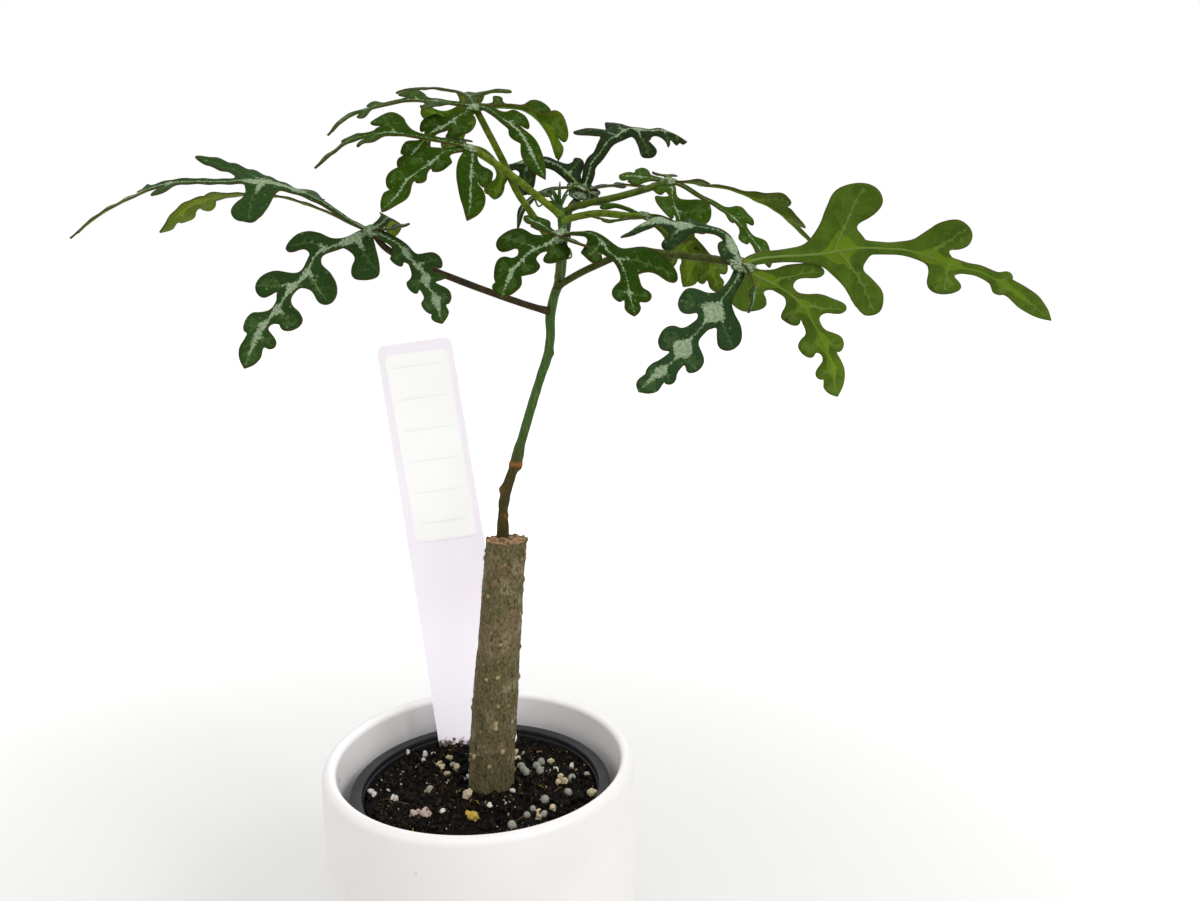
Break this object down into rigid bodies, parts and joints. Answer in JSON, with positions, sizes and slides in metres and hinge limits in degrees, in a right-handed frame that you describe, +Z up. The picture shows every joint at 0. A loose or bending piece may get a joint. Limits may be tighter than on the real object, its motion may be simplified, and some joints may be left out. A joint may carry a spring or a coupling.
{
  "type": "potted adenia plant",
  "caption": "Rooted stem cutting with deeply lobed, silver-marked leaves, in a black nursery pot inside a round white cachepot, with a blank plant label.",
  "frame": {"origin": "centre of the cachepot's flat underside", "axes": "+Z up along the cachepot's axis, +X to the picture's right, and -Y towards its camera"},
  "size_m": [0.3613, 0.125, 0.3778],
  "materials": {
    "white_ceramic": "satin white glaze",
    "black_plastic": "satin black plastic",
    "black_soil": "loose dark potting soil",
    "grey_bark": "dry grey-brown bark with small warts",
    "green_stem": "smooth green young stem",
    "lilac_plastic": "satin pale lilac plastic",
    "white_sticker": "plain white film",
    "leaf_green": "dark green blades with silver marks and brown margins"
  },
  "bodies": {
    "root": {"cachepot": "white_ceramic", "nursery_pot": "black_plastic", "soil": "black_soil", "trunk": "grey_bark", "shoot": "green_stem", "plant_label": "lilac_plastic", "label_sticker": "white_sticker", "leaf_left": "leaf_green", "leaf_top": "leaf_green", "leaf_second": "leaf_green", "leaf_back": "leaf_green", "leaf_back_right": "leaf_green", "leaf_centre": "leaf_green", "leaf_front": "leaf_green", "leaf_right": "leaf_green"}
  },
  "joints": []
}
